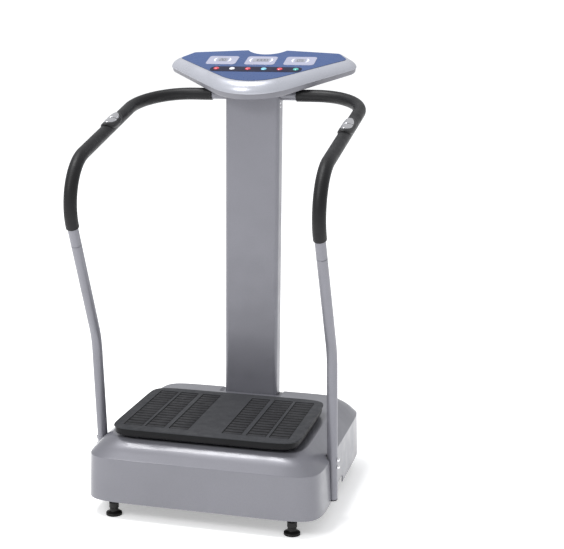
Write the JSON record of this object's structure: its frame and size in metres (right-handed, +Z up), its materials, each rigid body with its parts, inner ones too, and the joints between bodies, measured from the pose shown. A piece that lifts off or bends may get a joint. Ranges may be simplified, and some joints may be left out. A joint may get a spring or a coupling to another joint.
{
  "type": "vibration plate",
  "caption": "Oscillating vibration plate: a rocking ribbed platform on a covered base, with a column, a sloping console and two bent handles.",
  "frame": {"origin": "on the floor, at the middle of the bounding box", "axes": "+Z up, +Y to the rear, the way the user faces, +X to the right of a user who faces the console"},
  "size_m": [0.7126, 0.8121, 1.2444],
  "materials": {
    "black_steel": "satin powder coat",
    "silver_paint": "satin metallic silver paint",
    "cover_silver": "semi-gloss silver moulded plastic",
    "console_silver": "glossy silver moulded plastic",
    "console_grey": "satin grey moulded plastic",
    "chrome": "polished",
    "bright_steel": "turned",
    "cast_metal": "as cast",
    "foot_rubber": "smooth",
    "belt_rubber": "matte",
    "mat_rubber": "matte, ribbed",
    "platform_black": "satin",
    "foam": "soft foam, fine skin",
    "black_plastic": "satin",
    "blue_overlay": "printed film",
    "window_silver": "printed window",
    "circuit_board": "solder mask",
    "switch_red": "smooth",
    "button_red": "smooth",
    "button_white": "smooth",
    "button_cyan": "smooth",
    "button_green": "smooth"
  },
  "bodies": {
    "base": {"base_frame": "black_steel", "base_cover": "cover_silver", "column": "silver_paint", "cross_tube": "silver_paint", "upper_tube_left": "silver_paint", "upper_tube_right": "silver_paint", "lower_tube_left": "silver_paint", "lower_tube_right": "silver_paint", "foam_grip_left": "foam", "foam_grip_right": "foam", "sensor_housing_left": "black_plastic", "sensor_housing_right": "black_plastic", "console_upper_shell": "console_silver", "console_lower_shell": "console_grey", "panel_overlay": "blue_overlay", "control_board": "circuit_board", "control_cable": "belt_rubber", "motor": "cast_metal", "drive_belt": "belt_rubber", "pivot_shaft": "bright_steel", "control_box": "black_plastic", "power_inlet": "black_plastic", "bearing_block_left": "cast_metal", "handle_bolt_left_upper": "chrome", "handle_bolt_left_lower": "chrome", "sensor_plate_front_left": "chrome", "sensor_plate_rear_left": "chrome", "bearing_block_right": "cast_metal", "handle_bolt_right_upper": "chrome", "handle_bolt_right_lower": "chrome", "sensor_plate_front_right": "chrome", "sensor_plate_rear_right": "chrome", "display_window_left": "window_silver", "display_window_middle": "window_silver", "display_window_right": "window_silver"},
    "rocking_platform": {"plate_carrier": "black_steel", "platform": "platform_black", "rubber_mat": "mat_rubber", "pivot_bearing_front": "bright_steel", "pivot_bearing_rear": "bright_steel"},
    "rod_left": {"connecting_rod_left": "cast_metal"},
    "rod_right": {"connecting_rod_right": "cast_metal"},
    "crank": {"eccentric_shaft": "bright_steel", "driven_pulley": "cast_metal"},
    "motor_rotor": {"motor_pulley": "bright_steel"},
    "power_rocker": {"rocker_switch": "switch_red"},
    "button_1_cap": {"button_1": "button_red"},
    "button_2_cap": {"button_2": "button_white"},
    "button_3_cap": {"button_3": "button_red"},
    "button_4_cap": {"button_4": "button_cyan"},
    "button_5_cap": {"button_5": "button_red"},
    "button_6_cap": {"button_6": "button_green"},
    "foot_front_left": {"foot_pad_front_left": "foot_rubber", "foot_stem_front_left": "chrome"},
    "foot_front_right": {"foot_pad_front_right": "foot_rubber", "foot_stem_front_right": "chrome"},
    "foot_rear_left": {"foot_pad_rear_left": "foot_rubber", "foot_stem_rear_left": "chrome"},
    "foot_rear_right": {"foot_pad_rear_right": "foot_rubber", "foot_stem_rear_right": "chrome"}
  },
  "joints": [
    {"name": "platform_rock", "type": "hinge", "parent": "base", "child": "rocking_platform", "pos_m": [0, -0.1169, 0.188], "axis": [0, 1, 0], "range_deg": [-1.1, 1.1]},
    {"name": "crank_spin", "type": "hinge", "parent": "base", "child": "crank", "pos_m": [0, -0.1169, 0.115], "axis": [1, 0, 0], "continuous": true},
    {"name": "motor_spin", "type": "hinge", "parent": "base", "child": "motor_rotor", "pos_m": [0.055, 0.1049, 0.145], "axis": [1, 0, 0], "continuous": true},
    {"name": "rod_swing_left", "type": "hinge", "parent": "rocking_platform", "child": "rod_left", "pos_m": [-0.145, -0.1169, 0.2], "axis": [0, 1, 0], "range_deg": [-1.2, 1.2]},
    {"name": "rod_swing_right", "type": "hinge", "parent": "rocking_platform", "child": "rod_right", "pos_m": [0.145, -0.1169, 0.2], "axis": [0, 1, 0], "range_deg": [-1.2, 1.2]},
    {"name": "power_switch", "type": "hinge", "parent": "base", "child": "power_rocker", "pos_m": [-0.15, 0.2998, 0.13475], "axis": [1, 0, 0], "range_deg": [-16, 0]},
    {"name": "button_1_press", "type": "slide", "parent": "base", "child": "button_1_cap", "axis": [0, 0.3206, -0.9472], "range_m": [0, 0.0015], "stiffness_N_per_m": 400, "springref_m": -0.001},
    {"name": "button_2_press", "type": "slide", "parent": "base", "child": "button_2_cap", "axis": [0, 0.3206, -0.9472], "range_m": [0, 0.0015], "stiffness_N_per_m": 400, "springref_m": -0.001},
    {"name": "button_3_press", "type": "slide", "parent": "base", "child": "button_3_cap", "axis": [0, 0.3206, -0.9472], "range_m": [0, 0.0015], "stiffness_N_per_m": 400, "springref_m": -0.001},
    {"name": "button_4_press", "type": "slide", "parent": "base", "child": "button_4_cap", "axis": [0, 0.3206, -0.9472], "range_m": [0, 0.0015], "stiffness_N_per_m": 400, "springref_m": -0.001},
    {"name": "button_5_press", "type": "slide", "parent": "base", "child": "button_5_cap", "axis": [0, 0.3206, -0.9472], "range_m": [0, 0.0015], "stiffness_N_per_m": 400, "springref_m": -0.001},
    {"name": "button_6_press", "type": "slide", "parent": "base", "child": "button_6_cap", "axis": [0, 0.3206, -0.9472], "range_m": [0, 0.0015], "stiffness_N_per_m": 400, "springref_m": -0.001},
    {"name": "foot_level_front_left", "type": "slide", "parent": "base", "child": "foot_front_left", "axis": [0, 0, 1], "range_m": [-0.008, 0.008]},
    {"name": "foot_level_front_right", "type": "slide", "parent": "base", "child": "foot_front_right", "axis": [0, 0, 1], "range_m": [-0.008, 0.008]},
    {"name": "foot_level_rear_left", "type": "slide", "parent": "base", "child": "foot_rear_left", "axis": [0, 0, 1], "range_m": [-0.008, 0.008]},
    {"name": "foot_level_rear_right", "type": "slide", "parent": "base", "child": "foot_rear_right", "axis": [0, 0, 1], "range_m": [-0.008, 0.008]}
  ],
  "couplings": [
    {"joint": "motor_spin", "follows": "crank_spin", "ratio": 2.0455},
    {"joint": "rod_swing_left", "follows": "platform_rock", "ratio": -1},
    {"joint": "rod_swing_right", "follows": "platform_rock", "ratio": -1}
  ]
}
